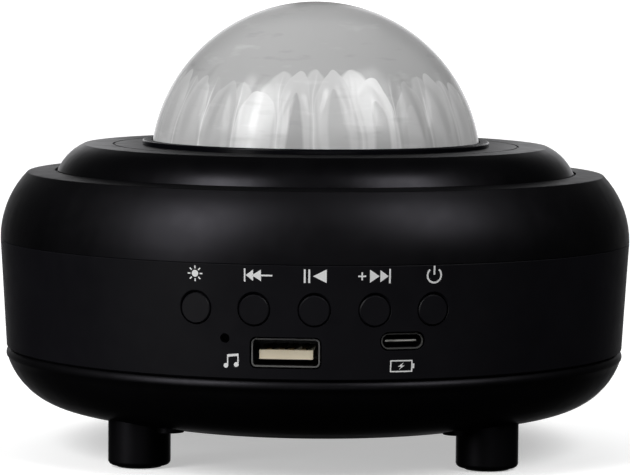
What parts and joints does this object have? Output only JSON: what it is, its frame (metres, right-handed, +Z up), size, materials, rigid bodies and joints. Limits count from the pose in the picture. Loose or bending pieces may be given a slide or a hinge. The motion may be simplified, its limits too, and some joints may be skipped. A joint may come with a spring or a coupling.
{
  "type": "night light projector",
  "caption": "Round night light projector on feet: translucent fluted dome over a turning ripple disc, with buttons, USB sockets and a speaker.",
  "frame": {"origin": "on the ground under the middle of the round body, at the soles of the foot pads", "axes": "+Z up through the dome, -Y towards the side with the buttons and sockets, +X to the right seen from there"},
  "size_m": [0.14, 0.14, 0.0989],
  "materials": {
    "case_black": "satin moulded black",
    "band_black": "matt moulded black",
    "bezel_black": "gloss black",
    "dome_clear": "translucent moulded plastic, smooth outside, fluted inside",
    "lens_clear": "clear moulded plastic",
    "ripple_clear": "clear moulded plastic with rippled pane",
    "button_black": "satin moulded black",
    "plunger_white": "moulded",
    "switch_grey": "moulded",
    "inner_black": "moulded",
    "reflector_white": "white moulded",
    "gear_ivory": "moulded acetal",
    "tongue_cream": "moulded cream",
    "tongue_black": "moulded",
    "pad_rubber": "matt",
    "cone_paper": "pressed pulp",
    "surround_rubber": "soft",
    "gasket_foam": "foam",
    "board_green": "solder mask",
    "lamp_board_white": "white solder mask on aluminium",
    "chips_black": "moulded",
    "emitter_yellow": "phosphor",
    "shell_steel": "plated",
    "screw_steel": "zinc plated",
    "contact_brass": "gold plated",
    "motor_steel": "plated",
    "magnet_iron": "ferrite and plated yoke",
    "basket_steel": "black",
    "sink_aluminium": "extruded"
  },
  "bodies": {
    "housing": {"lower_housing": "case_black", "middle_band": "band_black", "upper_housing": "case_black", "top_cover": "case_black", "dome_bezel": "bezel_black", "dome": "dome_clear", "foot_front_left": "case_black", "foot_front_right": "case_black", "foot_back_left": "case_black", "foot_back_right": "case_black", "foot_pads": "pad_rubber", "foot_screws": "screw_steel", "case_screws": "screw_steel", "cover_screws": "screw_steel", "switch_bodies": "switch_grey", "main_board": "board_green", "board_screws": "screw_steel", "board_parts": "chips_black", "usb_a_shell": "shell_steel", "usb_a_tongue": "tongue_cream", "usb_a_contacts": "contact_brass", "usb_c_shell": "shell_steel", "usb_c_tongue": "tongue_black", "microphone": "shell_steel", "speaker_grille": "inner_black", "speaker_gasket": "gasket_foam", "speaker_basket": "basket_steel", "speaker_magnet": "magnet_iron", "speaker_screws": "screw_steel", "speaker_surround": "surround_rubber", "light_chassis": "inner_black", "chassis_screws": "screw_steel", "heat_sink": "sink_aluminium", "sink_screws": "screw_steel", "lamp_board": "lamp_board_white", "lamp_emitters": "emitter_yellow", "lamp_lens": "lens_clear", "reflector_cup": "reflector_white", "disc_retainer": "inner_black", "retainer_screws": "screw_steel", "drive_motor": "motor_steel", "motor_screws": "screw_steel"},
    "button_light": {"button_light": "button_black", "plunger_light": "plunger_white"},
    "button_previous": {"button_previous": "button_black", "plunger_previous": "plunger_white"},
    "button_play": {"button_play": "button_black", "plunger_play": "plunger_white"},
    "button_next": {"button_next": "button_black", "plunger_next": "plunger_white"},
    "button_power": {"button_power": "button_black", "plunger_power": "plunger_white"},
    "ripple_disc": {"ripple_disc": "ripple_clear"},
    "drive_pinion": {"drive_pinion": "gear_ivory"},
    "speaker_cone": {"speaker_cone": "cone_paper"}
  },
  "joints": [
    {"name": "press_light", "type": "slide", "parent": "housing", "child": "button_light", "axis": [0.3518, 0.9361, 0], "range_m": [0, 0.0005], "stiffness_N_per_m": 2500, "springref_m": -0.0004},
    {"name": "press_previous", "type": "slide", "parent": "housing", "child": "button_previous", "axis": [0.1788, 0.9839, 0], "range_m": [0, 0.0005], "stiffness_N_per_m": 2500, "springref_m": -0.0004},
    {"name": "press_play", "type": "slide", "parent": "housing", "child": "button_play", "axis": [0, 1, 0], "range_m": [0, 0.0005], "stiffness_N_per_m": 2500, "springref_m": -0.0004},
    {"name": "press_next", "type": "slide", "parent": "housing", "child": "button_next", "axis": [-0.1788, 0.9839, 0], "range_m": [0, 0.0005], "stiffness_N_per_m": 2500, "springref_m": -0.0004},
    {"name": "press_power", "type": "slide", "parent": "housing", "child": "button_power", "axis": [-0.3518, 0.9361, 0], "range_m": [0, 0.0005], "stiffness_N_per_m": 2500, "springref_m": -0.0004},
    {"name": "disc_spin", "type": "hinge", "parent": "housing", "child": "ripple_disc", "pos_m": [0, 0, 0.058], "axis": [0, 0, 1], "continuous": true},
    {"name": "pinion_spin", "type": "hinge", "parent": "housing", "child": "drive_pinion", "pos_m": [0, 0.036, 0.056], "axis": [0, 0, 1], "continuous": true},
    {"name": "cone_stroke", "type": "slide", "parent": "housing", "child": "speaker_cone", "axis": [0, 0, 1], "range_m": [-0.001, 0.001], "stiffness_N_per_m": 1200, "deforming": ["speaker_surround"]}
  ],
  "couplings": [
    {"joint": "pinion_spin", "follows": "disc_spin", "ratio": -5}
  ]
}
